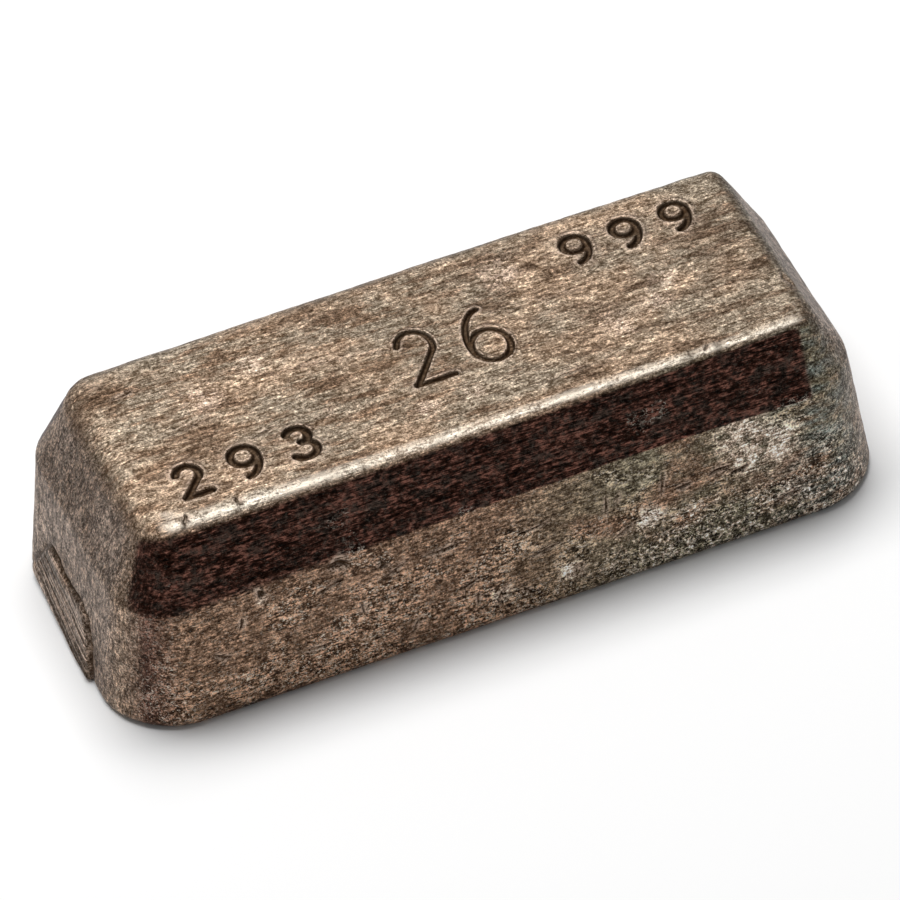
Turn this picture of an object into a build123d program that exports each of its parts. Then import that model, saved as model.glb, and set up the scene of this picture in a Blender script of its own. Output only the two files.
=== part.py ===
from build123d import *
from math import radians, tan
import os

# Small poured silver bar lying on its wide face.
# Millimetres. +X runs along the bar, +Y across it and +Z up. The origin is under the middle of the base.

# Base, the wide face that the bar lies on
base_length = 66.5
base_width = 26.85
base_corner = 6.4
base_edge_round = 0.7

# Height of the bar
height = 18.25

# Upper stage, from the top face down to the ridge where the steeper lower sides begin.
# Its long sides lean in by a draft in degrees from upright.
upper_stage_left = 6.45
upper_stage_right = 5.7
upper_side_draft = 24.7

# Ridge that runs round the bar between the two stages
ridge_inset_left = 1.55
ridge_inset_right = 1.8
ridge_corner = 5.0
ridge_round = 2.5

# Top face, set in from the base
top_inset_left = 4.6
top_inset_right = 5.05
top_inset_side = 3.85
top_corner_left = 3.2
top_corner_right = 1.6
top_edge_round = 1.15
top_end_round_left = 2.8
top_end_round_right = 1.6

# Tab on the left end, the trimmed stub of metal that ran over the mould's edge
tab_near_reach = 5.1
tab_far_reach = 8.3
tab_height = 6.0
tab_top_inset_near = 1.1
tab_top_inset_far = 3.7
tab_shoulder_inset = 1.7
tab_shoulder_height = 3.6
tab_proud_near = 0.55
tab_proud_far = 0.15
tab_lean = 0.65
tab_root = 3.0
tab_corner = 0.7
tab_edge_round = 0.3

# Saw grooves that slant across the face of the tab and draw together at its near end
groove_count = 4
groove_radius = 0.4
groove_depth = 0.14
groove_far_height = 2.7
groove_far_pitch = 0.85
groove_near_height = 1.0
groove_near_pitch = 0.5

half_length = base_length / 2
half_width = base_width / 2
ridge_height_left = height - upper_stage_left
ridge_height_right = height - upper_stage_right


def section(left, right, side_left, side_right, corner_left, corner_right, height_left, height_right):
    """Outline with round corners, given by how far its ends and sides lie from the middle and how high."""
    run = Vector(left + right, 0, height_right - height_left)
    middle = Vector((right - left) / 2, 0, (height_left + height_right) / 2)
    plane = Plane(origin=middle, x_dir=run, z_dir=Vector(-run.Z, 0, run.X))
    reach = run.length / 2
    outline = Polygon((-reach, -side_left), (reach, -side_right), (reach, side_right), (-reach, side_left),
                      align=None)
    for end, corner in ((-reach, corner_left), (reach, corner_right)):
        at_end = outline.vertices().filter_by_position(Axis.X, end - 0.01, end + 0.01)
        outline = fillet(at_end, corner)
    return (plane * outline).face()


def cast_block():
    """The bar as the mould leaves it: two stages of draft that meet at the ridge."""
    top_side = half_width - top_inset_side
    ridge_side_left = top_side + upper_stage_left * tan(radians(upper_side_draft))
    ridge_side_right = top_side + upper_stage_right * tan(radians(upper_side_draft))
    base = section(half_length, half_length, half_width, half_width, base_corner, base_corner, 0, 0)
    ridge = section(half_length - ridge_inset_left, half_length - ridge_inset_right,
                    ridge_side_left, ridge_side_right, ridge_corner, ridge_corner,
                    ridge_height_left, ridge_height_right)
    top = section(half_length - top_inset_left, half_length - top_inset_right,
                  top_side, top_side, top_corner_left, top_corner_right, height, height)
    return loft([base, ridge, top], ruled=True)


def is_ridge_edge(edge):
    """True for the edges that lie between the two stages of draft."""
    box = edge.bounding_box()
    margin = ridge_round / 2
    return (box.min.Z > min(ridge_height_left, ridge_height_right) - margin
            and box.max.Z < max(ridge_height_left, ridge_height_right) + margin)


def softened(block):
    """Rounds the top edge, the base edge and the ridge."""
    block = fillet(block.faces().sort_by(Axis.Z)[-1].edges(), min(top_edge_round, 0.8 * top_corner_right))
    block = fillet(block.faces().sort_by(Axis.Z)[0].edges(), base_edge_round)
    return fillet(block.edges().filter_by(is_ridge_edge), ridge_round)


def end_profile():
    """Side view of the bar's upper part, with the rounder top edges of its two ends."""
    ridge_left = (-half_length + ridge_inset_left, ridge_height_left)
    top_left = (-half_length + top_inset_left, height)
    top_right = (half_length - top_inset_right, height)
    ridge_right = (half_length - ridge_inset_right, ridge_height_right)
    margin = 1
    outline = Polygon((-half_length - margin, -margin), (-half_length - margin, ridge_height_left),
                      ridge_left, top_left, top_right, ridge_right,
                      (half_length + margin, ridge_height_right), (half_length + margin, -margin),
                      align=None)
    for place, radius in ((top_left, top_end_round_left), (top_right, top_end_round_right)):
        corner = outline.vertices().sort_by_distance((*place, 0))[0]
        outline = fillet(corner, radius)
    return Plane.XZ * outline


def tab_face_plane():
    """Plane of the tab's sawn face. Its origin is the far foot, its x runs to the near foot, its y up."""
    far_foot = Vector(-half_length - tab_proud_far, tab_far_reach, 0)
    near_foot = Vector(-half_length - tab_proud_near, -tab_near_reach, 0)
    up = Vector(tab_lean, 0, tab_height)
    along = near_foot - far_foot
    return Plane(origin=far_foot, x_dir=along, z_dir=along.cross(up))


def tab_blank():
    """Prism with the tab's outline, which runs from inside the bar to past its end."""
    outline = Polygon((-tab_near_reach, 0), (tab_top_inset_near - tab_near_reach, tab_height),
                      (tab_far_reach - tab_top_inset_far, tab_height),
                      (tab_far_reach - tab_shoulder_inset, tab_shoulder_height),
                      (tab_far_reach, tab_shoulder_height / 2), (tab_far_reach, 0), align=None)
    raised = [corner for corner in outline.vertices() if corner.Y > 0]
    outline = Plane.YZ * fillet(raised, tab_corner)
    reach = tab_root + 2 * max(tab_proud_near, tab_proud_far)
    return Pos(tab_root - half_length, 0, 0) * extrude(outline, amount=reach, dir=(-1, 0, 0))


def grooves(plane):
    """Round-bottomed cutters that lie on the sawn face."""
    width = tab_near_reach + tab_far_reach
    cutters = []
    for number in range(groove_count):
        far_end = Vector(0, groove_far_height + number * groove_far_pitch)
        near_end = Vector(width, groove_near_height + number * groove_near_pitch)
        middle = (far_end + near_end) / 2
        angle = Vector(1, 0).get_signed_angle(near_end - far_end)
        lift = groove_radius - groove_depth
        rod = Cylinder(groove_radius, 1.3 * width)
        cutters.append(plane * Pos(middle.X, middle.Y, lift) * Rot(0, 0, angle) * Rot(0, 90, 0) * rod)
    return cutters


def tab():
    """The trimmed stub: outline prism cut off along the sawn face, with soft edges and saw grooves."""
    plane = tab_face_plane()
    stub = split(tab_blank(), bisect_by=plane, keep=Keep.BOTTOM)
    sawn_face = stub.faces().sort_by(Axis.X)[0]
    raised = [edge for edge in sawn_face.edges() if edge.center().Z > tab_edge_round]
    return fillet(raised, tab_edge_round) - grooves(plane)


def bar():
    """The whole bar, one casting with its tab. Its two long sides mirror each other."""
    block = softened(cast_block()) & extrude(end_profile(), amount=base_width, both=True)
    near_half = split(block, bisect_by=Plane.XZ, keep=Keep.TOP)
    return near_half + mirror(near_half, about=Plane.XZ) + tab()


os.makedirs("parts", exist_ok=True)
export_step(bar(), "parts/bar.step")
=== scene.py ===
from math import cos, pi, radians, sin, tan
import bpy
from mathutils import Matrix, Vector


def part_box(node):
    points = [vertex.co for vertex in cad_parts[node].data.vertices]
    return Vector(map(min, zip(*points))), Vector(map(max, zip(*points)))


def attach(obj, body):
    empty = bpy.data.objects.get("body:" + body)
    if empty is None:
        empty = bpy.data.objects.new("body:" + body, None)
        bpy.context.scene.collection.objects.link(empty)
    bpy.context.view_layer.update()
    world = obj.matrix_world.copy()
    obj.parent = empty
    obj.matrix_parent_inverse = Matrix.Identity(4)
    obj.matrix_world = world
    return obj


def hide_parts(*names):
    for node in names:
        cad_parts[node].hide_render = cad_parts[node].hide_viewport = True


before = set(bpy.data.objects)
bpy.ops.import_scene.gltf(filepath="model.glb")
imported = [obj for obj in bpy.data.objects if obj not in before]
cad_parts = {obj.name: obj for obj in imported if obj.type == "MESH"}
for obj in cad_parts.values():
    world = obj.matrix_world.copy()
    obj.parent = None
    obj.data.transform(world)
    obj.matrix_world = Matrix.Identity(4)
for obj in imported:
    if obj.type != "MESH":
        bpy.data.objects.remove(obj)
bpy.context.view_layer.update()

from types import SimpleNamespace

import bpy
import numpy as np
from bpy.props import FloatProperty, FloatVectorProperty, IntProperty, PointerProperty
from mathutils import Quaternion, Vector

BAR_HIGH = Vector(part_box("bar")[1])

bl_info = {
    "name": "Poured silver bar",
    "version": (1, 0, 0),
    "blender": (4, 5, 0),
    "location": "View3D > Sidebar > Silver Bar",
    "description": "Dresses a poured silver bar with its worn casting skin, punched marks and tarnish",
    "category": "Object",
}

MM = 0.001
SKIN = "bar_skin"

# The steps of the skin round the foot and round the ridge
FOOT_STEPS = 4
RIDGE_STEPS = 4


def length(name, description, default_mm):
    """A size property in metres whose default is written in millimetres."""
    return FloatProperty(name=name, description=description, default=default_mm * MM, unit="LENGTH",
                         precision=5)


def colour(name, description, default):
    """A colour property, in linear light."""
    return FloatVectorProperty(name=name, description=description, default=default, subtype="COLOR",
                               size=3, min=0, max=1)


class BarShape(bpy.types.PropertyGroup):
    """Sizes of the casting. Its height comes from the frame."""
    foot_length: length("Foot length", "Length of the base", 66.5)
    foot_width: length("Foot width", "Width of the base", 26.85)
    foot_corner: length("Foot corner", "Plan radius of the corners at the foot", 6.4)
    foot_round: length("Foot rounding", "Radius of the edge round the base", 0.7)
    upper_left: length("Upper stage, left", "Height from the ridge to the top at the left end", 6.45)
    upper_right: length("Upper stage, right", "Height from the ridge to the top at the right end", 5.7)
    ridge_in_left: length("Ridge inset, left", "How far the ridge is set in at the left end", 1.55)
    ridge_in_right: length("Ridge inset, right", "How far the ridge is set in at the right end", 1.8)
    ridge_corner: length("Ridge corner", "Plan radius of the corners at the ridge", 5.0)
    ridge_round: length("Ridge rounding", "Radius that softens the ridge", 2.0)
    ridge_bow: length("Ridge bow", "How far the ridge rises midway along the long sides", 0.3)
    top_bow: length("Top bow", "How far the long edges of the top face swell midway along", 0.22)
    top_in_left: length("Top inset, left", "How far the top is set in at the left end", 4.6)
    top_in_right: length("Top inset, right", "How far the top is set in at the right end", 5.05)
    top_in_side: length("Top inset, side", "How far the top is set in along the long sides", 3.85)
    top_corner_left: length("Top corner, left", "Plan radius of the top corners at the left end", 3.4)
    top_corner_right: length("Top corner, right", "Plan radius of the top corners at the right end", 1.7)
    long_round_left: length("Long rounding, left", "Radius of the long top edges at the left", 1.6)
    long_round_right: length("Long rounding, right", "Radius of the long top edges at the right", 0.95)
    end_round_left: length("End rounding, left", "Radius of the top edge at the left end", 2.8)
    end_round_right: length("End rounding, right", "Radius of the top edge at the right end", 1.6)
    side_draft: FloatProperty(name="Side draft", description="Lean of the long sides above the ridge",
                              default=radians(24.7), subtype="ANGLE")


class BarMesh(bpy.types.PropertyGroup):
    """How finely the skin is divided. The numbers along and across are even, and so is the sum up a wall."""
    along: IntProperty(name="Along", description="Faces along the bar", default=172, min=8)
    across: IntProperty(name="Across", description="Faces across the bar", default=56, min=8)
    lower: IntProperty(name="Lower stage", description="Faces up the lower stage", default=29, min=2)
    upper: IntProperty(name="Upper stage", description="Faces up the upper stage", default=15, min=2)
    rounding: IntProperty(name="Rounding", description="Faces round the top edge", default=8, min=2)


class BarMarks(bpy.types.PropertyGroup):
    """The punched and engraved marks on the top face."""
    stroke: length("Punch stroke", "Width of a punched stroke", 0.66)
    depth: length("Punch depth", "Depth of a punched stroke", 0.40)
    fine_stroke: length("Engraved stroke", "Width of an engraved stroke", 0.54)
    fine_depth: length("Engraved depth", "Depth of an engraved stroke", 0.32)
    burr: length("Burr", "Height of the metal raised beside a stroke", 0.07)


class BarTab(bpy.types.PropertyGroup):
    """The trimmed stub on the left end."""
    height: length("Height", "Height of the tab", 6.0)
    near: length("Near reach", "Distance from the middle to the near edge", 5.1)
    far: length("Far reach", "Distance from the middle to the far edge", 8.3)
    proud_near: length("Proud, near", "How far the near foot stands out from the wall", 0.55)
    proud_far: length("Proud, far", "How far the far foot stands out from the wall", 0.12)
    proud_top: length("Proud, top", "How far the top of the tab stands out from the wall", 0.30)
    groove: length("Groove depth", "Depth of the saw grooves", 0.16)


class BarFinish(bpy.types.PropertyGroup):
    """Colours of the tarnished silver."""
    tan: colour("Tan", "Scuffed metal of the top face", (0.350, 0.254, 0.178))
    rust: colour("Warm", "Warm tint in the scuffed metal", (0.310, 0.196, 0.122))
    grey: colour("Grey", "Grey tint in the scuffed metal", (0.260, 0.211, 0.158))
    smudge: colour("Smudge", "Brown tarnish on the top face", (0.088, 0.055, 0.035))
    # Dark colour above the ridge: partly real tarnish, partly painted shade for the dark surround that these
    # sides reflect
    upper: colour("Upper side", "Dark tarnish of the long sides above the ridge", (0.058, 0.025, 0.018))
    lower: colour("Lower side", "Brown tarnish below the ridge", (0.185, 0.115, 0.075))
    olive: colour("Olive", "Green-grey tint of the lower side", (0.150, 0.135, 0.092))
    teal: colour("Teal", "Blue-green tint at the right end", (0.085, 0.098, 0.088))
    end: colour("End", "Grey tarnish of the two ends", (0.162, 0.118, 0.090))
    black: colour("Black", "Deepest tarnish", (0.014, 0.009, 0.007))
    # Dark brown for marks, scratches and saw grooves, also used for the painted shadow beside the tab
    grime_and_shadow: colour("Grime", "Brown grime in the marks and scratches", (0.050, 0.028, 0.014))
    # Bright worn silver, also used for the painted highlight along the near top edge and for painted glints
    worn_silver_and_highlight: colour("Worn", "Bright silver on worn edges", (0.84, 0.75, 0.63))
    chalk: colour("Chalk", "Pale bloom on the tarnish", (0.62, 0.48, 0.38))


class BarStage(bpy.types.PropertyGroup):
    """Camera, floor and light."""
    azimuth: FloatProperty(name="Azimuth", description="Where the camera stands", default=radians(-19.467),
                           subtype="ANGLE")
    elevation: FloatProperty(name="Elevation", description="Height of the camera", default=radians(44.7535),
                             subtype="ANGLE")
    roll: FloatProperty(name="Roll", description="Tilt of the frame", default=radians(-4.5), subtype="ANGLE")
    distance: length("Distance", "From the camera to what it looks at", 612.58)
    lens: FloatProperty(name="Lens", description="Focal length in millimetres", default=307.53)
    look_at: FloatVectorProperty(name="Look at", description="Point at the middle of the picture",
                                 default=(-0.535 * MM, -2.118 * MM, 9 * MM), subtype="TRANSLATION", size=3)
    floor: colour("Floor", "Colour of the floor", (0.93, 0.93, 0.93))
    lamp_power: FloatProperty(name="Lamp power", description="Power of the softbox", default=2.9,
                              unit="POWER")
    surround: FloatProperty(name="Surround", description="Strength of the white light all round",
                            default=0.20)


# Small helpers

def select_only(obj):
    """Makes an object the only selected one, and the active one."""
    bpy.ops.object.select_all(action="DESELECT")
    obj.select_set(True)
    bpy.context.view_layer.objects.active = obj


def points_of(obj):
    """The places of an object's vertices, as rows of an array."""
    flat = np.empty(len(obj.data.vertices) * 3)
    obj.data.vertices.foreach_get("co", flat)
    return flat.reshape(-1, 3)


def smooth(low, high, value):
    """Eased step from 0 at low to 1 at high."""
    t = np.clip((value - low) / (high - low), 0, 1)
    return t * t * (3 - 2 * t)


def hump(centre, half, value):
    """Bell that is 1 at the centre and fades over the half width."""
    return np.exp(-((value - centre) / half) ** 2)


def paint(obj, name, values):
    """Stores one number for each vertex, which the finish reads."""
    data = obj.data
    layer = data.attributes.get(name) or data.attributes.new(name, "FLOAT", "POINT")
    layer.data.foreach_set("value", np.asarray(values, dtype=np.float32))


def displace(obj, weights, strength, direction="NORMAL", texture=None):
    """Applies one Displace modifier with a weight from 0 to 1 for each vertex. A texture pushes both ways."""
    select_only(obj)
    group = obj.vertex_groups.new(name="push")
    moved = np.nonzero(weights > 1e-4)[0]
    for weight, rows in weight_steps(weights[moved], moved):
        group.add(rows, weight, "REPLACE")
    modifier = obj.modifiers.new("Push", "DISPLACE")
    modifier.direction = direction
    modifier.mid_level = 0.5 if texture else 0
    modifier.strength = strength
    modifier.vertex_group = group.name
    if texture:
        modifier.texture = texture
        modifier.texture_coords = "LOCAL"
    bpy.ops.object.modifier_apply(modifier=modifier.name)
    obj.vertex_groups.remove(obj.vertex_groups["push"])


def push(obj, amount, direction="NORMAL"):
    """Moves each vertex by its own amount, in metres: outwards above 0 and inwards below."""
    for sign in (1, -1):
        part = np.clip(sign * amount, 0, None)
        if part.max() > 0:
            displace(obj, part / part.max(), sign * part.max(), direction)


def weight_steps(weights, rows, steps=400):
    """Groups vertices of nearly the same weight, so that they can be weighted together."""
    level = np.rint(weights * steps).astype(int)
    order = np.argsort(level, kind="stable")
    level, rows = level[order], rows[order]
    edges = np.nonzero(np.diff(level))[0] + 1
    for chunk, value in zip(np.split(rows, edges), level[np.r_[0, edges]]):
        yield value / steps, chunk.tolist()


def refine(obj, wanted):
    """Divides into four the faces whose middles are wanted."""
    select_only(obj)
    faces = obj.data.polygons
    middles = np.empty(len(faces) * 3)
    faces.foreach_get("center", middles)
    bpy.context.tool_settings.mesh_select_mode = (False, False, True)
    bpy.ops.object.mode_set(mode="EDIT")
    bpy.ops.mesh.select_all(action="DESELECT")
    bpy.ops.object.mode_set(mode="OBJECT")
    faces.foreach_set("select", wanted(middles.reshape(-1, 3)))
    bpy.ops.object.mode_set(mode="EDIT")
    bpy.ops.mesh.subdivide(number_cuts=1)
    bpy.ops.object.mode_set(mode="OBJECT")


# The casting

def rounded_corner(before, corner, after, radius, count):
    """Points along the arc that rounds the corner between two straight stretches."""
    before, corner, after = (np.array(p, dtype=float) for p in (before, corner, after))
    back = (before - corner) / np.linalg.norm(before - corner)
    ahead = (after - corner) / np.linalg.norm(after - corner)
    half = 0.5 * np.arccos(np.clip(back @ ahead, -1, 1))
    middle = (back + ahead) / np.linalg.norm(back + ahead)
    centre = corner + middle * radius / sin(half)
    start = corner + back * radius / tan(half) - centre
    end = corner + ahead * radius / tan(half) - centre
    turn = pi - 2 * half
    steps = np.linspace(0, 1, count + 1)[:, None]
    return centre + (np.sin((1 - steps) * turn) * start + np.sin(steps * turn) * end) / sin(turn)


def wall_profile(shape, mesh, ridge_in, upper_stage, top_in, top_round):
    """Section of one wall as (inset, height) from the base, over both stages, to the top face."""
    height = BAR_HIGH.z
    base, ridge, top = (0, 0), (ridge_in, height - upper_stage), (top_in, height)
    foot = rounded_corner((1, 0), base, ridge, shape.foot_round, FOOT_STEPS)
    waist = rounded_corner(base, ridge, top, shape.ridge_round, RIDGE_STEPS)
    brow = rounded_corner(ridge, top, (2 * top_in + 1, height), top_round, mesh.rounding)
    lower = np.linspace(foot[-1], waist[0], mesh.lower + 1)[1:-1]
    upper = np.linspace(waist[-1], brow[0], mesh.upper + 1)[1:-1]
    return np.concatenate([foot, lower, waist, upper, brow])


def box_grid(counts):
    """A cube whose faces are divided into the given even numbers along X, Y and Z."""
    bpy.ops.object.select_all(action="DESELECT")
    bpy.ops.mesh.primitive_cube_add(size=2, location=(0, 0, 0))
    obj = bpy.context.object
    obj.name = obj.data.name = SKIN
    bpy.context.tool_settings.mesh_select_mode = (False, True, False)
    for axis, count in enumerate(counts):
        for cuts in (1, count // 2 - 1):
            points = points_of(obj)
            ends = np.empty(len(obj.data.edges) * 2, dtype=int)
            obj.data.edges.foreach_get("vertices", ends)
            span = np.abs(points[ends[0::2]] - points[ends[1::2]])
            along = np.delete(span, axis, axis=1).max(axis=1) < 1e-6
            bpy.ops.object.mode_set(mode="EDIT")
            bpy.ops.mesh.select_all(action="DESELECT")
            bpy.ops.object.mode_set(mode="OBJECT")
            obj.data.edges.foreach_set("select", along)
            bpy.ops.object.mode_set(mode="EDIT")
            bpy.ops.mesh.subdivide(number_cuts=cuts)
            bpy.ops.object.mode_set(mode="OBJECT")
    return obj


# How much tighter the plan's corners get over the brow, and their least radius on the rim
RIM_CORNER_LOSS = 1.3 * MM
RIM_CORNER_LEAST = 0.5 * MM

# How far above and below the ridge its bow is felt
RIDGE_BOW_REACH = 5 * MM


def wall_profiles(shape, mesh):
    """Sections of the long sides as they are at the left and at the right, and of the left and right ends."""
    lean = tan(shape.side_draft)
    long_left = wall_profile(shape, mesh, shape.top_in_side - shape.upper_left * lean, shape.upper_left,
                             shape.top_in_side, shape.long_round_left)
    long_right = wall_profile(shape, mesh, shape.top_in_side - shape.upper_right * lean, shape.upper_right,
                              shape.top_in_side, shape.long_round_right)
    left = wall_profile(shape, mesh, shape.ridge_in_left, shape.upper_left, shape.top_in_left,
                        shape.end_round_left)
    right = wall_profile(shape, mesh, shape.ridge_in_right, shape.upper_right, shape.top_in_right,
                         shape.end_round_right)
    return long_left, long_right, left, right


def corner_radius(shape, at_height, towards_top, at_left):
    """Plan radius of the corners at some heights, which gets tighter towards the top."""
    height = BAR_HIGH.z
    ridge_height, brow_height = height - shape.upper_left, height - shape.long_round_right
    radius = np.interp(at_height, [0, ridge_height], [shape.foot_corner, shape.ridge_corner])
    top_corner = np.where(at_left, shape.top_corner_left, shape.top_corner_right)
    radius = radius + (top_corner - radius) * towards_top
    in_brow = np.clip((at_height - brow_height) / (height - brow_height), 0, 1)
    return radius + (np.maximum(top_corner - RIM_CORNER_LOSS, RIM_CORNER_LEAST) - radius) * in_brow


def on_outline(u, v, half_x, half_y, radius):
    """Places on an outline with round corners for places (u, v) on a square, and how far each place faces
    along X and along Y."""
    on_side = np.abs(v) >= np.abs(u)
    along, straight = np.where(on_side, u, v), np.where(on_side, half_x, half_y) - radius
    travel = np.abs(along) * (straight + radius * pi / 4)
    turn = np.clip((travel - straight) / np.maximum(radius, 1e-9), 0, pi / 4)
    first = np.minimum(travel, straight) + radius * np.sin(turn)
    second = np.where(on_side, half_y, half_x) - radius + radius * np.cos(turn)
    x = np.where(on_side, np.sign(u) * first, np.sign(u) * second)
    y = np.where(on_side, np.sign(v) * second, np.sign(v) * first)
    face_x = np.where(on_side, np.sin(turn), np.cos(turn))
    face_y = np.where(on_side, np.cos(turn), np.sin(turn))
    return x, y, face_x, face_y


def mould(shape, mesh, a, b, c, levels):
    """Places on the bar for places (a, b, c) on the surface of a cube: two stages of draft between
    outlines whose corners get tighter towards the top."""
    height = BAR_HIGH.z
    ridge_height, brow_height = height - shape.upper_left, height - shape.long_round_right
    reach, side = shape.foot_length / 2, shape.foot_width / 2
    long_left, long_right, left, right = wall_profiles(shape, mesh)
    level = np.rint((c + 1) / 2 * levels).astype(int)
    at_height = long_left[level, 1]
    towards_top = np.clip((at_height - ridge_height) / (brow_height - ridge_height), 0, 1)

    # Plan of each level, which shrinks to a point on the flat faces
    ring = np.maximum(np.abs(a), np.abs(b))
    flat = np.abs(c) > 1 - 1e-6
    u, v = a / np.maximum(ring, 1e-9), b / np.maximum(ring, 1e-9)
    radius = corner_radius(shape, at_height, towards_top, u < 0)
    radius = radius * np.where(flat, smooth(0.86, 1.0, ring), 1.0)
    left_reach, right_reach = reach - left[level, 0], reach - right[level, 0]
    half_x = (left_reach + right_reach) / 2
    half_y = side - (long_left[level, 0] + long_right[level, 0]) / 2
    x, y, face_x, face_y = on_outline(u, v, half_x, half_y, radius)
    scale = np.where(flat, ring, 1.0)
    x, y = (right_reach - left_reach) / 2 + x * scale, y * scale

    # The long sides go from their left section to their right one, and bow a little between
    run = np.clip((x / reach + 1) / 2, 0, 1)
    mid = 1 - (2 * run - 1) ** 2
    taper = (long_right[level, 0] - long_left[level, 0]) * (run - 0.5)
    swell = shape.top_bow * mid * smooth(0, 1, towards_top)
    y = y - y / half_y * (taper - swell)
    long_z = at_height + (long_right[level, 1] - at_height) * run
    near_ridge = np.clip(1 - np.abs(at_height - ridge_height) / RIDGE_BOW_REACH, 0, 1)
    long_z = long_z + shape.ridge_bow * (2 * mid - 1) * smooth(0, 1, near_ridge)
    end_z = np.where(x < 0, left[level, 1], right[level, 1])
    wall_z = end_z * face_x ** 2 + long_z * face_y ** 2
    z = np.where(flat, np.where(c > 0, height, 0.0), wall_z)
    return np.stack([x, y, z], axis=1), face_x, face_y, level


# Along the bar, in millimetres, where the dark band above the ridge gets crisp, where its lower edge drops
# and where it ends
BAND_CRISP = (-22, 4)
BAND_DROP = (12, 26)
BAND_END = (26.2, 27.2)


class SILVERBAR_OT_casting(bpy.types.Operator):
    """Makes the skin of the casting, from a divided cube that is drawn to the shape of the mould"""
    bl_idname = "silver_bar.casting"
    bl_label = "Cast the bar"

    def execute(self, context):
        shape, mesh = context.scene.bar_shape, context.scene.bar_mesh
        ridge_level = FOOT_STEPS + mesh.lower + RIDGE_STEPS / 2
        brow_level = FOOT_STEPS + mesh.lower + RIDGE_STEPS + mesh.upper
        levels = brow_level + mesh.rounding
        obj = box_grid((mesh.along, mesh.across, levels))
        cube = points_of(obj)
        places, face_x, face_y, level = mould(shape, mesh, *cube.T, levels)
        obj.data.vertices.foreach_set("co", places.ravel())
        obj.data.update()

        x, y = places.T[:2] / MM
        top, base = cube[:, 2] > 1 - 1e-6, cube[:, 2] < -1 + 1e-6
        wall = ~(top | base)
        below_brow = wall * (1 - smooth(brow_level - 1, brow_level + 0.7 * mesh.rounding, level))
        paint(obj, "end_face", face_x ** 2 * below_brow)
        paint(obj, "side_face", face_y ** 2 * below_brow)
        paint(obj, "corner", 4 * (face_x * face_y) ** 2 * below_brow)

        # The dark band above the ridge, partly tarnish and partly painted shade, ends sharply at the right
        # and fades round the left corners
        crisp = smooth(*BAND_CRISP, x)
        start = ridge_level - 0.4 - 1.2 * smooth(*BAND_DROP, x)
        spread = 1.0 + 5.0 * (1 - crisp)
        above = smooth(start - spread, start + spread, level)
        above = above * (1 - smooth(brow_level - 1, brow_level + 4, level))
        round_end = np.where(x > 0, 1 - smooth(*BAND_END, x), smooth(0.25, 0.7, face_y))
        paint(obj, "upper_side", above * round_end * wall)

        # The bright line on the brow of the wall and on the rim of the top face is partly worn silver and
        # partly a painted highlight of the lamp on the rounded edge; it is full strength only along the near
        # long side
        edge = hump(brow_level + 0.68 * mesh.rounding, (0.22 - 0.03 * crisp) * mesh.rounding, level)
        from_rim = (1 - np.maximum(np.abs(cube[:, 0]), np.abs(cube[:, 1]))) * 14
        rim = np.where(top, 0.40 * hump(0, 0.12 + 0.3 * (1 - crisp), from_rim), edge * wall)
        highlit_side_share = np.where(y < 0, smooth(27.8, 26.0, np.abs(x)), 0.2)
        paint(obj, "worn_edge", rim * highlit_side_share * np.where(wall, face_y ** 2, np.abs(y) > 7.5))
        return {"FINISHED"}


# The marks

def arc(centre_x, centre_y, radius_x, radius_y, start, end, count=14):
    """Points along part of an ellipse, with angles in degrees."""
    return [(centre_x + radius_x * cos(radians(start + (end - start) * i / count)),
             centre_y + radius_y * sin(radians(start + (end - start) * i / count))) for i in range(count + 1)]


# Strokes of the figures, in a box one unit wide and 1.4 units tall
FIGURES = {
    "9": [arc(0.47, 0.97, 0.42, 0.40, 0, 360, 28), arc(0.28, 0.92, 0.62, 0.88, 6, -84)],
    "6": [arc(0.53, 0.43, 0.42, 0.40, 0, 360, 28), arc(0.72, 0.48, 0.62, 0.88, 186, 96)],
    "2": [arc(0.47, 0.98, 0.38, 0.38, 165, -28) + [(0.08, 0.04)], [(0.06, 0.04), (0.94, 0.04)]],
    "3": [arc(0.44, 1.03, 0.36, 0.34, 150, -80), arc(0.44, 0.38, 0.42, 0.36, 85, -150)],
}

# Rows of marks in millimetres: figures, left foot, width, height, pitch, tilt in degrees, fine tool or not
MARK_ROWS = [("293", (-24.3, -7.0), 2.45, 3.55, 4.7, 1.0, False),
             ("26", (-3.4, -3.4), 3.7, 6.3, 5.3, 0.5, True),
             ("999", (13.2, 4.0), 2.35, 3.3, 4.35, 0.5, False)]


def row_strokes(text, foot, width, height, pitch, tilt):
    """Strokes of a row of figures on the top face, as lists of places in metres."""
    lean = radians(tilt)
    turn = np.array([[cos(lean), sin(lean)], [-sin(lean), cos(lean)]])
    return [((np.array(stroke) * (width, height / 1.4) + (place * pitch, 0)) @ turn + foot) * MM
            for place, figure in enumerate(text) for stroke in FIGURES[figure]]


def distance_to(strokes, x, y):
    """Distance in the plane from each place to the nearest of some strokes."""
    nearest = np.full(x.shape, 1.0)
    for points in strokes:
        low, high = points.min(axis=0) - 2 * MM, points.max(axis=0) + 2 * MM
        near = np.nonzero((x > low[0]) & (x < high[0]) & (y > low[1]) & (y < high[1]))[0]
        for start, end in zip(points[:-1], points[1:]):
            run = end - start
            dx, dy = x[near] - start[0], y[near] - start[1]
            t = np.clip((dx * run[0] + dy * run[1]) / (run @ run), 0, 1)
            gap = np.hypot(dx - t * run[0], dy - t * run[1])
            nearest[near] = np.minimum(nearest[near], gap)
    return nearest


def on_top_face(points):
    """True for places on the flat of the top face."""
    return points[:, 2] > BAR_HIGH.z - 0.4 * MM


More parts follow.
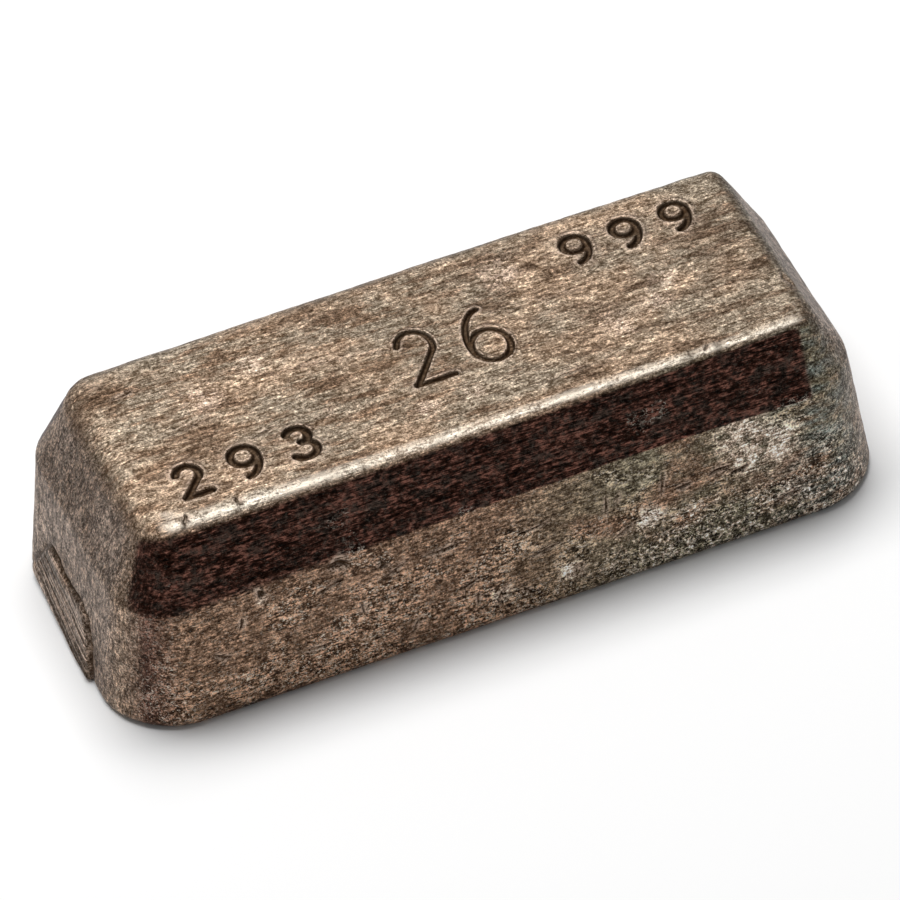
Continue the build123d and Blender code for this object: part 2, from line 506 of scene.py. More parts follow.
class SILVERBAR_OT_marks(bpy.types.Operator):
    """Punches the fineness and the weight into the top face and engraves the bar's number"""
    bl_idname = "silver_bar.marks"
    bl_label = "Punch the marks"

    def execute(self, context):
        marks, obj = context.scene.bar_marks, bpy.data.objects[SKIN]
        every_stroke = [stroke for *row, _ in MARK_ROWS for stroke in row_strokes(*row)]
        for margin in (0.95 * MM, 0.62 * MM):
            refine(obj, lambda p: on_top_face(p) & (distance_to(every_stroke, p[:, 0], p[:, 1]) < margin))
        points = points_of(obj)
        top = on_top_face(points)
        sink, halo, burr = np.zeros((3, len(points)))
        for *row, is_fine in MARK_ROWS:
            width = marks.fine_stroke if is_fine else marks.stroke
            depth = marks.fine_depth if is_fine else marks.depth
            gap = distance_to(row_strokes(*row), points[:, 0], points[:, 1]) / width
            sink = np.maximum(sink, (1 - smooth(0.18, 0.55, gap)) * depth)
            burr = np.maximum(burr, smooth(0.40, 0.62, gap) * (1 - smooth(0.72, 1.15, gap)))
            halo = np.maximum(halo, (1 - smooth(0.5, 2.2, gap)) * (0.35 if is_fine else 1.0))
        push(obj, (burr * marks.burr - sink) * top, "Z")
        paint(obj, "mark", sink / marks.depth * top)
        paint(obj, "burr", burr * top)
        paint(obj, "halo", halo * top)
        return {"FINISHED"}


# The tab

def tab_outline(tab):
    """Outline of the tab on the end wall, as (y, z): a blunt top and a foot that runs out to the far side."""
    near, far, h = tab.near, tab.far, tab.height
    return np.array([(-near, -MM), (-near, 0.3 * h), (-0.9 * near, 0.72 * h), (-0.76 * near, 0.94 * h),
                     (-0.53 * near, h), (0.1 * far, 0.92 * h), (0.42 * far, 1.03 * h), (0.54 * far, 1.0 * h),
                     (0.64 * far, 0.86 * h), (0.80 * far, 0.5 * h), (far, 0.24 * h), (far, -MM)])


def inside_depth(outline, y, z):
    """How far each place lies inside an outline. It is negative outside."""
    closed = np.vstack([outline, outline[:1]])
    nearest = np.full(y.shape, 1.0)
    inside = np.zeros(y.shape, dtype=bool)
    for (y0, z0), (y1, z1) in zip(closed[:-1], closed[1:]):
        run_y, run_z = y1 - y0, z1 - z0
        t = np.clip(((y - y0) * run_y + (z - z0) * run_z) / (run_y ** 2 + run_z ** 2), 0, 1)
        nearest = np.minimum(nearest, np.hypot(y - y0 - t * run_y, z - z0 - t * run_z))
        if z0 != z1:
            crosses = ((z0 > z) != (z1 > z)) & (y < y0 + (z - z0) * run_y / run_z)
            inside ^= crosses
    return np.where(inside, nearest, -nearest)


def on_left_end(points):
    """True for places on the end wall that carries the tab."""
    return (points[:, 0] < -0.9 * BAR_HIGH.x) & (points[:, 2] < 0.5 * BAR_HIGH.z)


# Saw lines across the tab, in millimetres: height at the far side, height at the near side, and strength
SAW_LINES = [(2.0, 0.5, 1.0), (2.9, 1.1, 0.7), (3.5, 1.7, 1.0), (4.4, 2.6, 0.55), (5.2, 3.6, 0.7)]


class SILVERBAR_OT_tab(bpy.types.Operator):
    """Raises the trimmed stub on the left end and saws its face"""
    bl_idname = "silver_bar.tab"
    bl_label = "Raise the tab"

    def execute(self, context):
        tab, obj = context.scene.bar_tab, bpy.data.objects[SKIN]
        outline = tab_outline(tab)

        def around(points, inner, outer):
            depth = inside_depth(outline, points[:, 1], points[:, 2])
            return on_left_end(points) & (depth > -outer) & (depth < inner)

        refine(obj, lambda p: around(p, 9 * MM, 0.5 * MM))
        refine(obj, lambda p: around(p, 0.45 * MM, 0.3 * MM))
        points = points_of(obj)
        y, z = points[:, 1], points[:, 2]
        wall = on_left_end(points)
        depth = inside_depth(outline, y, z)
        raised = smooth(-0.06 * MM, 0.1 * MM, depth) * wall
        along = np.clip((y + tab.near) / (tab.far + tab.near), 0, 1)
        foot = tab.proud_near + (tab.proud_far - tab.proud_near) * along
        proud = foot + (tab.proud_top - foot) * np.clip(z / tab.height, 0, 1)
        inner = smooth(0.12 * MM, 0.4 * MM, depth)
        saw = np.zeros(len(points))
        for far_z, near_z, weight in SAW_LINES:
            line = (near_z + (far_z - near_z) * along) * MM
            saw = np.maximum(saw, weight * (1 - smooth(0.05 * MM, 0.3 * MM, np.abs(z - line))))
        out = (proud - 0.1 * MM * (1 - inner) - tab.groove * saw * inner) * raised
        # A groove round the tab's outline, pushed in and painted dark as the shadow that the raised tab casts
        # beside it; the saw grooves are painted dark as well
        crack = 1 - smooth(0.0, 0.34 * MM, np.abs(depth + 0.2 * MM))
        crack = crack * wall * (1 - raised) * smooth(0, MM, z)
        push(obj, crack * (0.12 * MM + 0.16 * MM * (1 - along)) - out, "X")
        paint(obj, "tab", smooth(0, 0.1 * MM, depth) * wall)
        paint(obj, "crack", np.maximum(crack, 0.8 * saw * inner * raised))
        return {"FINISHED"}


# Wear

# Dents on the long near edge of the top face, in millimetres: place along, half width and depth
EDGE_DENTS = [(-25.1, 0.30, 0.30), (-20.5, 0.26, 0.26), (-12.4, 0.9, 0.10), (-3.5, 0.4, 0.10),
              (4.5, 0.6, 0.08), (11.0, 0.4, 0.08), (18.0, 0.5, 0.26), (20.3, 0.35, 0.24), (28.3, 0.6, 0.35)]

# Gouges, in millimetres: the face they are in, place, angle in degrees, half length, half width and depth
GOUGES = [("top", 28.2, -4.8, 100, 0.9, 0.22, 0.30), ("top", -21.4, 0.5, 4, 2.2, 0.14, 0.08),
          ("top", -8.0, 2.4, -10, 5.0, 0.09, 0.07), ("top", -29.4, -0.6, 80, 0.7, 0.3, 0.18),
          ("top", -29.6, 1.4, 60, 0.4, 0.3, 0.15), ("top", -24.6, 6.0, 15, 1.0, 0.12, 0.10),
          ("top", -16.0, -2.6, 8, 1.1, 0.13, 0.10), ("top", -11.0, -2.9, 14, 0.9, 0.13, 0.10),
          ("top", -25.1, -8.9, 80, 0.5, 0.17, 0.22), ("top", -20.6, -8.8, 100, 0.45, 0.16, 0.20),
          ("top", 19.0, -9.1, 65, 0.35, 0.12, 0.14), ("top", 8.5, -6.9, 3, 3.0, 0.09, 0.06),
          ("top", 9.4, 1.6, -4, 4.0, 0.08, 0.06),
          ("near", -20.7, 11.2, 30, 0.35, 0.28, 0.30), ("near", -14.1, 11.6, -12, 0.9, 0.26, 0.26),
          ("near", -10.6, 10.1, 65, 0.4, 0.26, 0.26), ("near", -9.7, 9.1, 20, 1.1, 0.12, 0.14),
          ("near", -5.6, 9.5, 3, 1.6, 0.11, 0.16), ("near", 20.1, 7.5, 12, 0.85, 0.13, 0.24),
          ("near", 18.2, 8.1, 14, 0.9, 0.14, 0.24), ("near", 15.1, 7.7, -2, 0.7, 0.14, 0.24),
          ("near", 3.0, 6.0, 8, 1.3, 0.10, 0.14), ("near", -3.5, 5.2, 12, 1.0, 0.11, 0.14),
          ("near", -24.5, 6.3, -20, 0.9, 0.12, 0.14), ("near", 9.8, 5.2, 20, 0.9, 0.12, 0.16),
          ("near", -17.0, 4.0, -6, 1.4, 0.10, 0.12), ("near", 24.0, 3.2, 9, 1.1, 0.12, 0.16),
          ("near", -1.0, 3.0, 62, 1.0, 0.12, 0.16), ("near", 1.2, 2.6, -40, 0.8, 0.12, 0.16),
          ("near", -3.0, 3.4, 75, 0.7, 0.12, 0.15), ("near", 5.6, 3.2, 30, 0.6, 0.14, 0.16),
          ("near", 8.4, 8.4, 82, 1.1, 0.10, 0.14), ("near", 9.4, 8.6, 76, 0.8, 0.10, 0.12),
          ("near", 13.3, 8.6, 86, 1.3, 0.10, 0.14), ("near", -8.2, 3.0, 50, 0.8, 0.12, 0.14),
          ("near", -12.6, 6.4, -70, 0.6, 0.12, 0.14), ("near", -22.6, 9.0, 70, 0.6, 0.14, 0.16),
          ("near", -15.2, 9.6, 12, 1.2, 0.11, 0.14), ("near", 2.2, 8.6, 6, 1.6, 0.09, 0.12)]

# The uneven cast surface, in layers: name, size of its lumps in millimetres, octaves, height in millimetres
CAST_LAYERS = [("swell", 14, 1, 0.20), ("lumps", 3.0, 2, 0.12), ("grain", 0.8, 2, 0.06)]


def cloud(name, size, octaves):
    """A cloudy pattern for Displace modifiers, with lumps of the given size."""
    texture = bpy.data.textures.new(name, "CLOUDS")
    texture.noise_scale = size
    texture.noise_depth = octaves
    return texture


def gouge_depth(points, widen=1.0):
    """Depth of the gouges at each place, in metres. They can be widened, as for their scuffed rims."""
    x, y, z = points.T / MM
    total = np.zeros(len(points))
    for face, place_x, place_up, angle, half_long, half_wide, depth in GOUGES:
        up = y if face == "top" else z
        there = on_top_face(points) if face == "top" else (y < -11.0) & (z < 16)
        dx, du = x - place_x, up - place_up
        lean = radians(angle)
        along, across = dx * cos(lean) + du * sin(lean), du * cos(lean) - dx * sin(lean)
        across = across + 0.6 * half_wide * np.sin(2.6 * along / half_long + place_x)
        taper = 1 - 0.5 * np.clip(along / half_long, -1, 1) ** 2
        dip = np.exp(-(along / half_long) ** 4 - (across / (widen * taper * half_wide)) ** 2)
        total = np.maximum(total, dip * depth * there)
    return total * MM


class SILVERBAR_OT_wear(bpy.types.Operator):
    """Adds the uneven cast surface, the dented edges and the gouges"""
    bl_idname = "silver_bar.wear"
    bl_label = "Wear the bar"

    def execute(self, context):
        obj = bpy.data.objects[SKIN]
        for reach in (2.2, 1.8, 1.5):
            refine(obj, lambda p: gouge_depth(p, reach) > 0.02 * MM)
        points = points_of(obj)
        x, y, z = points.T
        edge_y = BAR_HIGH.y - context.scene.bar_shape.top_in_side
        dent = np.zeros(len(points))
        for place, half, depth in EDGE_DENTS:
            away = hump(-edge_y, 0.8 * MM, y) * hump(BAR_HIGH.z, 0.8 * MM, z)
            dent = np.maximum(dent, depth * MM * hump(place * MM, half * MM, x) * away)
        gouge = gouge_depth(points)
        push(obj, -np.maximum(dent, gouge))
        paint(obj, "gouge", np.clip((gouge + 0.3 * dent) / (0.15 * MM), 0, 1))
        paint(obj, "scuff", np.clip((gouge_depth(points, 2.0) - gouge) / (0.06 * MM), 0, 1))
        free = smooth(0, 0.6 * MM, z)
        for name, size, octaves, height in CAST_LAYERS:
            displace(obj, free, height * MM, texture=cloud(name, size * MM, octaves))
        return {"FINISHED"}


# Finish

# Places with a pale bloom on the tarnish, in millimetres, each with its half width
BLOOMS = [((-3.4, -5.7, 18.2), 0.9), ((0.7, -5.7, 18.2), 0.8), ((19.2, -0.5, 18.2), 1.1),
          ((17.6, -2.5, 18.2), 1.2), ((-14.2, 4.8, 18.2), 1.2), ((7.6, 5.8, 18.2), 1.6),
          ((14.0, -3.6, 18.2), 1.5), ((-19.0, 3.0, 18.2), 1.6), ((21.5, -12.7, 9.0), 2.6),
          ((20.3, -12.5, 11.0), 2.2), ((23.3, -12.7, 8.6), 2.0), ((5.0, -13.1, 3.0), 0.9),
          ((-1.0, -13.1, 3.0), 0.8), ((12.0, -12.9, 5.6), 1.1), ((-20.7, -12.6, 10.6), 0.5)]

# Places on the top face where the brown tarnish is thickest, in the same form
SMUDGES = [((-27.0, 7.0, 18.2), 4.5), ((6.5, 6.6, 18.2), 4.0), ((12.0, -2.0, 18.2), 3.0),
           ((-9.0, -1.5, 18.2), 2.5), ((25.0, 1.0, 18.2), 4.0), ((-8.0, 8.0, 18.2), 3.0),
           ((-21.0, -1.5, 18.2), 2.0)]

# Share of red, green and blue that the tarnish in the pores keeps
PORE_TINT = (1.0, 0.86, 0.72)

# The most that the grain may brighten the metal
GRAIN_LIMIT = 5.0


class Finish:
    """Builds a material from nodes, with one short call for each. Places are in millimetres."""

    def __init__(self, name):
        self.material = bpy.data.materials.new(name)
        self.material.use_nodes = True
        self.tree = self.material.node_tree
        self.shader = self.tree.nodes["Principled BSDF"]
        coordinates = self.node("ShaderNodeTexCoord").outputs["Object"]
        self.place = self.vector("SCALE", coordinates, 1 / MM)

    def node(self, kind, **settings):
        """Adds a node with some of its settings."""
        made = self.tree.nodes.new(kind)
        for key, value in settings.items():
            setattr(made, key, value)
        return made

    def feed(self, socket, value):
        """Links an output to a socket, or sets the socket to a number or colour."""
        if isinstance(value, bpy.types.NodeSocket):
            self.tree.links.new(value, socket)
        elif socket.type == "RGBA":
            socket.default_value = (*value, 1)
        else:
            socket.default_value = value

    def vector(self, operation, first, second):
        made = self.node("ShaderNodeVectorMath", operation=operation)
        self.feed(made.inputs[0], first)
        self.feed(made.inputs["Scale"] if operation == "SCALE" else made.inputs[1], second)
        return made.outputs[0]

    def math(self, operation, first, second=0.0, clamp=False):
        made = self.node("ShaderNodeMath", operation=operation, use_clamp=clamp)
        self.feed(made.inputs[0], first)
        self.feed(made.inputs[1], second)
        return made.outputs[0]

    def blend(self, *parts):
        """Sum of values, each with its share."""
        total = 0.0
        for value, share in parts:
            total = self.math("ADD", self.math("MULTIPLY", value, share), total)
        return total

    def turned(self, angle):
        """Places turned about the X axis."""
        made = self.node("ShaderNodeVectorRotate", rotation_type="X_AXIS")
        self.feed(made.inputs["Vector"], self.place)
        self.feed(made.inputs["Angle"], angle)
        return made.outputs[0]

    def noise(self, scale, detail, roughness, stretch=(1, 1, 1), shift=0.0, place=None):
        """Noise from 0 to 1. A small stretch along an axis draws it out there, and the shift varies it."""
        place = self.vector("MULTIPLY", place or self.place, stretch)
        place = self.vector("ADD", place, (shift, shift * 1.7, shift * 0.6))
        made = self.node("ShaderNodeTexNoise")
        self.feed(made.inputs["Vector"], place)
        self.feed(made.inputs["Scale"], scale)
        self.feed(made.inputs["Detail"], detail)
        self.feed(made.inputs["Roughness"], roughness)
        return made.outputs["Fac"]

    def vein(self, scale, half_width, stretch=(1, 1, 1), shift=0.0):
        """1 along thin wandering lines."""
        away = self.math("ABSOLUTE", self.math("SUBTRACT", self.noise(scale, 3, 0.6, stretch, shift), 0.5))
        return self.ease(away, 0, half_width, 1, 0)

    def ease(self, value, low, high, out_low=0.0, out_high=1.0):
        """Eased step from one number to another as the value goes from low to high."""
        made = self.node("ShaderNodeMapRange", interpolation_type="SMOOTHSTEP", clamp=True)
        for name, number in (("Value", value), ("From Min", low), ("From Max", high),
                             ("To Min", out_low), ("To Max", out_high)):
            self.feed(made.inputs[name], number)
        return made.outputs["Result"]

    def mix(self, factor, first, second, blend="MIX"):
        """Goes from one colour to another."""
        made = self.node("ShaderNodeMix", data_type="RGBA", blend_type=blend)
        self.feed(made.inputs[0], factor)
        self.feed(made.inputs[6], first)
        self.feed(made.inputs[7], second)
        return made.outputs[2]

    def pick(self, factor, first, second):
        """Goes from one number to another."""
        made = self.node("ShaderNodeMix", data_type="FLOAT")
        self.feed(made.inputs[0], factor)
        self.feed(made.inputs[2], first)
        self.feed(made.inputs[3], second)
        return made.outputs[0]

    def painted(self, name):
        """The numbers that an operator painted on the skin."""
        return self.node("ShaderNodeAttribute", attribute_name=name).outputs["Fac"]

    def axis(self, name):
        """How far each place lies along one axis."""
        made = self.node("ShaderNodeSeparateXYZ")
        self.feed(made.inputs[0], self.place)
        return made.outputs[name]

    def near(self, places):
        """1 at some places, fading over the half width of each."""
        total = 0.0
        for place, half in places:
            gap = self.node("ShaderNodeVectorMath", operation="DISTANCE")
            self.feed(gap.inputs[0], self.place)
            self.feed(gap.inputs[1], place)
            total = self.math("MAXIMUM", self.ease(gap.outputs["Value"], 0, 1.6 * half, 1, 0), total)
        return total


def skin_layers(f):
    """All that is painted on the skin, with the walls as a whole and the place along and up the bar."""
    names = ("side_face", "end_face", "corner", "upper_side", "worn_edge", "mark", "burr", "halo", "tab",
             "crack", "gouge", "scuff")
    skin = SimpleNamespace(**{name: f.painted(name) for name in names})
    skin.walls = f.math("ADD", skin.side_face, skin.end_face, clamp=True)
    skin.x, skin.z = f.axis("X"), f.axis("Z")
    return skin


def tarnish_patterns(f, skin):
    """The noises of the finish. The grain runs along the bar, or down its ends."""
    tarnish = SimpleNamespace()
    tarnish.drawn = f.noise(1.0, 4, 0.68, stretch=(3.4, 3.4, 1.2), shift=2.2)
    tarnish.grain = f.pick(skin.end_face, f.noise(1.0, 4, 0.68, stretch=(1.6, 3.6, 3.6), shift=1.3),
                           tarnish.drawn)
    tarnish.hair = f.pick(skin.end_face, f.noise(1.0, 2, 0.5, stretch=(0.6, 11, 11), shift=5.2),
                          f.noise(1.0, 2, 0.5, stretch=(9, 9, 0.6), shift=5.9))
    tarnish.crumb = f.noise(5.4, 3, 0.8, shift=7.7)
    tarnish.blotch = f.noise(0.9, 7, 0.72, shift=3.1)
    tarnish.cloudy = f.noise(0.16, 4, 0.55, stretch=(0.8, 1.2, 1.2), shift=0.4)
    tarnish.streak = f.noise(1.0, 6, 0.68, stretch=(0.22, 0.9, 0.9), shift=8.3)

    # The dark band above the ridge, partly tarnish and partly painted shade, has streaky edges, and the long
    # sides are more rugged low down
    streaky = f.blend((tarnish.blotch, 0.5), (tarnish.streak, 0.5))
    band = f.ease(f.blend((skin.upper_side, 1.0), (streaky, 1.6)), 0.95, 1.65)
    tarnish.band = f.math("MULTIPLY", band, f.ease(skin.upper_side, 0.0, 0.3))
    rugged = f.blend((f.noise(0.35, 2, 0.5, stretch=(0.7, 1, 1), shift=1.9), 1.0), (skin.z, -0.02))
    tarnish.rugged = f.math("MULTIPLY", f.ease(rugged, 0.30, 0.48), skin.side_face)
    tarnish.tone = fine_tone(f, skin, tarnish)
    return tarnish


def fine_tone(f, skin, tarnish):
    """Fine light and dark, about 0.5: grain and scratches, streaks in the dark band, saw marks on the tab."""
    bright_lines = f.math("MULTIPLY", f.vein(1.5, 0.022, (0.8, 1.2, 1.2), 3.7),
                          f.ease(tarnish.blotch, 0.50, 0.58))
    dark_lines = f.math("MULTIPLY", f.vein(1.3, 0.020, (0.7, 1.3, 1.3), 6.9),
                        f.ease(tarnish.blotch, 0.50, 0.42))
    scratches = f.math("MULTIPLY", f.vein(1.0, 0.014, (0.11, 1.3, 1.3), 2.9),
                       f.ease(tarnish.streak, 0.50, 0.56))
    lines = f.math("MULTIPLY", f.math("SUBTRACT", bright_lines, dark_lines), f.pick(skin.walls, 0.03, 0.07))
    tone = f.blend((tarnish.grain, 0.34), (tarnish.crumb, 0.36), (tarnish.hair, 0.14), (tarnish.blotch, 0.16),
                   (lines, 1.0), (scratches, 0.04))
    in_band = f.blend((tarnish.hair, 0.2), (tarnish.streak, 0.35), (tarnish.grain, 0.45))
    tone = f.pick(f.math("MULTIPLY", tarnish.band, 0.75), tone, in_band)
    sawn = f.noise(1.0, 2, 0.6, stretch=(1, 0.10, 5.5), shift=9.1, place=f.turned(radians(-6.5)))
    return f.pick(skin.tab, tone, f.blend((sawn, 0.45), (tarnish.grain, 0.3), (tarnish.crumb, 0.25)))


def top_colour(f, skin, tarnish, colours):
    """Scuffed metal of the top face, with warm streaks and brown smudges."""
    top = f.mix(f.ease(tarnish.cloudy, 0.40, 0.60), colours.tan, colours.grey)
    warmed = f.math("MULTIPLY", f.ease(tarnish.streak, 0.48, 0.64), f.ease(skin.x, -8, 14, 0.8, 0.3))
    top = f.mix(warmed, top, colours.rust)
    smudged = f.blend((tarnish.streak, 0.6), (tarnish.blotch, 0.4), (f.near(SMUDGES), 0.05))
    return f.mix(f.math("MULTIPLY", f.ease(smudged, 0.48, 0.59), 0.8), top, colours.smudge)


def wall_colour(f, skin, tarnish, colours):
    """Tarnish of the long sides and the ends. Each left corner is dark on the side and light on the end."""
    greened = f.math("MULTIPLY", f.ease(skin.x, -6, 16), f.ease(tarnish.cloudy, 0.38, 0.56))
    sides = f.mix(greened, colours.lower, colours.olive)
    blued = f.math("MULTIPLY", f.ease(skin.x, 19, 29), f.ease(tarnish.streak, 0.62, 0.42))
    sides = f.mix(blued, sides, colours.teal)
    soiled = f.blend((tarnish.streak, 0.5), (tarnish.blotch, 0.5))
    sides = f.mix(f.ease(soiled, 0.50, 0.62, 0.0, 0.7), sides, colours.grime_and_shadow)
    browned = f.blend((tarnish.drawn, 0.5), (tarnish.cloudy, 0.5))
    ends = f.mix(f.ease(browned, 0.45, 0.60, 0.0, 0.7), colours.end, colours.smudge)
    walls = f.mix(skin.end_face, sides, ends)
    left_corner = f.math("MULTIPLY", skin.corner, f.ease(skin.x, -27, -28.5))
    darkened = f.math("MULTIPLY", left_corner, f.ease(skin.side_face, 0.35, 0.6, 0, 0.85))
    walls = f.mix(darkened, walls, colours.upper)
    lightened = f.math("MULTIPLY", left_corner, f.ease(skin.side_face, 0.35, 0.15, 0, 0.5))
    return f.mix(lightened, walls, colours.tan)


def crusted(f, skin, tarnish, colours, base):
    """Adds the pale bloom, the pale and black crumbs low on the long sides, and the dark band above the
    ridge, which is partly tarnish and partly painted shade.
    """
    bloom = f.ease(f.blend((tarnish.blotch, 0.6), (tarnish.crumb, 0.4)), 0.41, 0.54)
    bloom = f.math("MULTIPLY", f.near(BLOOMS), bloom)
    base = f.mix(f.math("MULTIPLY", bloom, f.pick(skin.walls, 0.45, 0.9)), base, colours.chalk)
    low = f.math("MULTIPLY", f.ease(skin.z, 2.5, 7.5, 1, 0), f.ease(skin.x, 3, 14))
    low = f.math("MULTIPLY", f.math("MULTIPLY", low, skin.side_face), f.ease(tarnish.blotch, 0.40, 0.54))
    crumbs = f.noise(3.0, 2, 0.6, shift=4.4)
    base = f.mix(f.math("MULTIPLY", f.ease(crumbs, 0.44, 0.50, 1, 0), low), base, colours.black)
    base = f.mix(f.math("MULTIPLY", f.ease(crumbs, 0.55, 0.61), low), base, colours.chalk)
    # The dark band: partly tarnish, partly painted shade
    deep = f.ease(f.blend((tarnish.blotch, 0.6), (tarnish.streak, 0.4)), 0.46, 0.58)
    return f.mix(tarnish.band, base, f.mix(deep, colours.upper, colours.black))


def grained(f, skin, tarnish, colours, base):
    """Grain as a factor, which leaves brown in the pores and bright scuffs between them, and adds painted
    glints as bright flecks and squiggles.
    """
    depth = f.blend((1.0, 13.5), (skin.walls, 5.0), (tarnish.rugged, 12.0), (tarnish.band, 11.0))
    swing = f.math("MULTIPLY", f.math("SUBTRACT", tarnish.tone, 0.5), depth)
    pores = f.mix(1.0, base, PORE_TINT, "MULTIPLY")
    base = f.mix(f.ease(swing, -0.9, 0.1, 1, 0), base, pores)
    base = f.mix(1.0, base, f.math("MINIMUM", f.math("EXPONENT", swing), GRAIN_LIMIT), "MULTIPLY")
    # Painted glints: pale specks and squiggles in the bright silver colour stand in for sparkles of light on
    # the relief
    painted_glint = f.ease(f.noise(1.0, 3, 0.7, stretch=(3.2, 5.0, 5.0), shift=6.1), 0.585, 0.63)
    glint_squiggle = f.math("MULTIPLY", f.vein(2.0, 0.022, (0.8, 1.1, 1.1), 4.6), f.ease(tarnish.blotch, 0.50, 0.55))
    painted_glint = f.math("MAXIMUM", painted_glint, f.math("MULTIPLY", glint_squiggle, 0.9))
    share = f.blend((skin.walls, 0.25), (tarnish.rugged, 0.7), (tarnish.band, -0.2))
    return f.mix(f.math("MULTIPLY", painted_glint, share), base, colours.worn_silver_and_highlight)


def used(f, skin, tarnish, colours, base):
    """Rubs the edges bright, partly as wear and partly as a painted highlight along the near top edge, scuffs
    the metal beside marks and gouges, and lays grime in what is cut, with a painted shadow in the gap beside
    the tab.
    """
    tone = tarnish.tone
    # The edge is painted bright: partly wear, partly a painted highlight along the near top edge
    rub_and_highlight = f.ease(f.blend((tone, 0.75), (tarnish.streak, 0.25)), 0.45, 0.51, 0.3, 1.1)
    rub_and_highlight = f.math("MULTIPLY", skin.worn_edge, rub_and_highlight)
    base = f.mix(f.math("MINIMUM", rub_and_highlight, 1.0), base, colours.worn_silver_and_highlight)
    pale = f.math("MAXIMUM", skin.burr, f.math("MULTIPLY", skin.halo, 0.4))
    pale = f.math("MULTIPLY", pale, f.ease(tone, 0.44, 0.54))
    base = f.mix(f.math("MULTIPLY", pale, 0.6), base, colours.chalk)
    base = f.mix(f.math("MULTIPLY", skin.scuff, f.ease(tone, 0.46, 0.54, 0.0, 0.8)), base, colours.chalk)
    # Dark brown in the marks and gouges, and a painted shadow in the gap beside the tab
    sunk = f.ease(f.blend((skin.mark, 1.0), (f.math("SUBTRACT", tone, 0.5), 2.5)), 0.10, 0.55)
    grime_and_tab_shadow = f.math("MAXIMUM", f.math("MULTIPLY", sunk, f.ease(skin.mark, 0.0, 0.1)),
                  f.math("MAXIMUM", skin.crack, f.math("MULTIPLY", skin.gouge, 0.8)))
    return f.mix(f.math("MULTIPLY", grime_and_tab_shadow, 0.9), base, colours.grime_and_shadow)


def tarnished_silver(colours):
    """The finish of the whole bar."""
    f = Finish("tarnished_silver")
    skin = skin_layers(f)
    tarnish = tarnish_patterns(f, skin)
    base = f.mix(skin.walls, top_colour(f, skin, tarnish, colours), wall_colour(f, skin, tarnish, colours))
    base = f.mix(skin.tab, base, colours.end)
    for step in (crusted, grained, used):
        base = step(f, skin, tarnish, colours, base)
    f.feed(f.shader.inputs["Base Color"], base)
    f.shader.inputs["Metallic"].default_value = 1.0
    f.feed(f.shader.inputs["Roughness"], f.ease(tarnish.tone, 0.40, 0.60, 0.58, 0.34))

    bump = f.node("ShaderNodeBump")
    bump.inputs["Strength"].default_value = 1.0
    bump.inputs["Distance"].default_value = 0.22 * MM
    f.feed(bump.inputs["Height"], f.blend((tarnish.tone, 0.8), (tarnish.hair, 0.12)))
    f.feed(f.shader.inputs["Normal"], bump.outputs["Normal"])
    return f.material


class SILVERBAR_OT_finish(bpy.types.Operator):
    """Gives the bar its tarnished finish and puts the skin in the place of the plain solid"""
    bl_idname = "silver_bar.finish"
    bl_label = "Tarnish the bar"

    def execute(self, context):
        obj = bpy.data.objects[SKIN]
        select_only(obj)
        bpy.ops.object.shade_smooth()
        obj.data.materials.clear()
        obj.data.materials.append(tarnished_silver(context.scene.bar_finish))
        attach(obj, "root")
        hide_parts("bar")
        return {"FINISHED"}


# Stage

# The softbox, in metres: its place, its width and depth, and the middle of the bar, which it faces
SOFTBOX_PLACE = (-0.02, 0.14, 0.50)
SOFTBOX_SIZE = (0.40, 0.24)
SOFTBOX_TARGET = (0, 0, 0.01)


def hang_softbox(power):
    """Hangs the one lamp over the bar, a little behind it."""
    turn = (Vector(SOFTBOX_PLACE) - Vector(SOFTBOX_TARGET)).to_track_quat("Z", "Y")
    bpy.ops.object.light_add(type="AREA", location=SOFTBOX_PLACE, rotation=turn.to_euler())
    lamp = bpy.context.object
    lamp.name = "overhead_softbox"
    lamp.data.shape = "RECTANGLE"
    lamp.data.size, lamp.data.size_y = SOFTBOX_SIZE
    lamp.data.energy = power


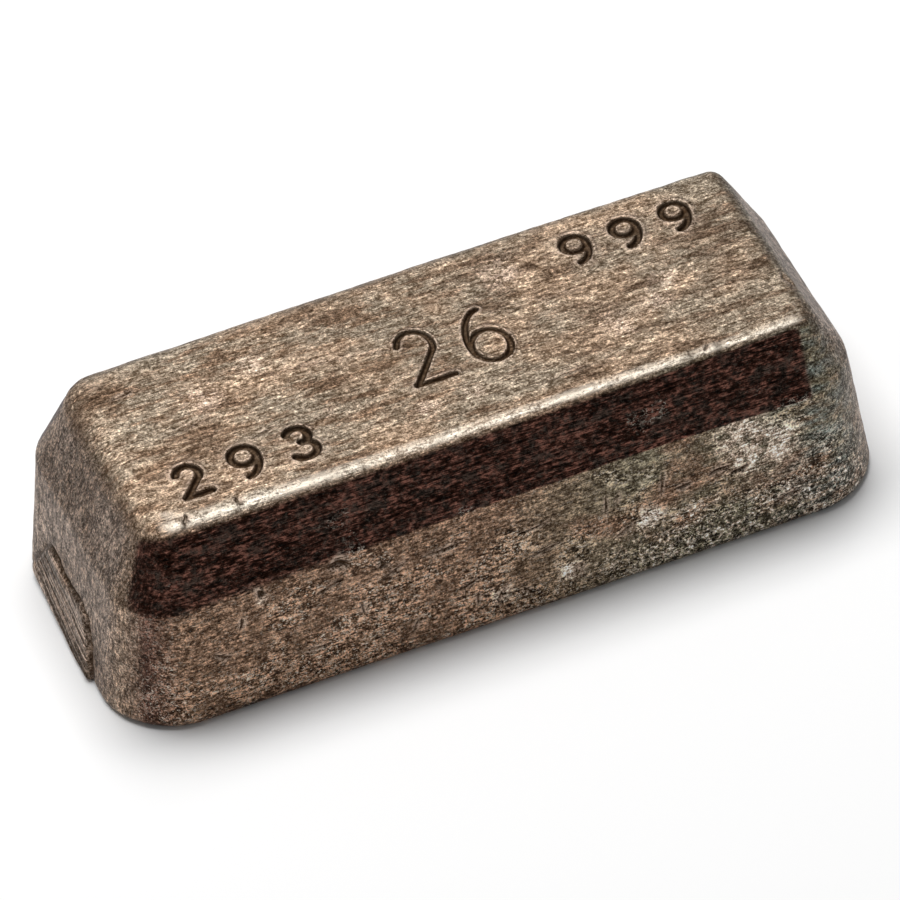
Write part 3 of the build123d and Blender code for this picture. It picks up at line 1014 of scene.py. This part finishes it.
class SILVERBAR_OT_stage(bpy.types.Operator):
    """Lays the floor, hangs the lamp and sets up the camera"""
    bl_idname = "silver_bar.stage"
    bl_label = "Set the stage"

    def execute(self, context):
        stage, scene = context.scene.bar_stage, context.scene
        bpy.ops.object.select_all(action="DESELECT")
        bpy.ops.mesh.primitive_plane_add(size=4, location=(0, 0, 0))
        floor = context.object
        floor.name = "floor"
        paper = bpy.data.materials.new("floor_paper")
        paper.use_nodes = True
        sockets = paper.node_tree.nodes["Principled BSDF"].inputs
        sockets["Base Color"].default_value = (*stage.floor, 1)
        sockets["Roughness"].default_value = 1.0
        sockets["Specular IOR Level"].default_value = 0.0
        floor.data.materials.append(paper)

        hang_softbox(stage.lamp_power)
        world = bpy.data.worlds.new("studio")
        world.use_nodes = True
        sockets = world.node_tree.nodes["Background"].inputs
        sockets["Color"].default_value = (1, 1, 1, 1)
        sockets["Strength"].default_value = stage.surround
        scene.world = world

        look_at = Vector(stage.look_at)
        outwards = Vector((sin(stage.azimuth) * cos(stage.elevation),
                           -cos(stage.azimuth) * cos(stage.elevation),
                           sin(stage.elevation)))
        turn = outwards.to_track_quat("Z", "Y") @ Quaternion((0, 0, 1), stage.roll)
        bpy.ops.object.camera_add(location=look_at + stage.distance * outwards, rotation=turn.to_euler())
        camera = context.object
        camera.data.sensor_width = 36
        camera.data.lens = stage.lens
        camera.data.clip_start = 0.01
        scene.camera = camera
        scene.view_settings.view_transform = "Standard"
        return {"FINISHED"}


class SILVERBAR_PT_panel(bpy.types.Panel):
    """Lists the steps and sizes in the sidebar"""
    bl_idname = "SILVERBAR_PT_panel"
    bl_label = "Silver Bar"
    bl_space_type = "VIEW_3D"
    bl_region_type = "UI"
    bl_category = "Silver Bar"

    def draw(self, context):
        for operator in OPERATORS:
            self.layout.operator(operator.bl_idname)
        for name in GROUPS:
            settings = getattr(context.scene, name)
            box = self.layout.box()
            for key in settings.bl_rna.properties.keys():
                if key not in ("rna_type", "name"):
                    box.prop(settings, key)


GROUPS = {"bar_shape": BarShape, "bar_mesh": BarMesh, "bar_marks": BarMarks, "bar_tab": BarTab,
          "bar_finish": BarFinish, "bar_stage": BarStage}
OPERATORS = [SILVERBAR_OT_casting, SILVERBAR_OT_marks, SILVERBAR_OT_tab, SILVERBAR_OT_wear,
             SILVERBAR_OT_finish, SILVERBAR_OT_stage]
CLASSES = [*GROUPS.values(), *OPERATORS, SILVERBAR_PT_panel]


def register():
    for cls in CLASSES:
        bpy.utils.register_class(cls)
    for name, group in GROUPS.items():
        setattr(bpy.types.Scene, name, PointerProperty(type=group))


def unregister():
    for name in GROUPS:
        delattr(bpy.types.Scene, name)
    for cls in reversed(CLASSES):
        bpy.utils.unregister_class(cls)


def main():
    register()
    bpy.ops.silver_bar.casting()
    bpy.ops.silver_bar.marks()
    bpy.ops.silver_bar.tab()
    bpy.ops.silver_bar.wear()
    bpy.ops.silver_bar.finish()
    bpy.ops.silver_bar.stage()


if __name__ == "__main__":
    main()
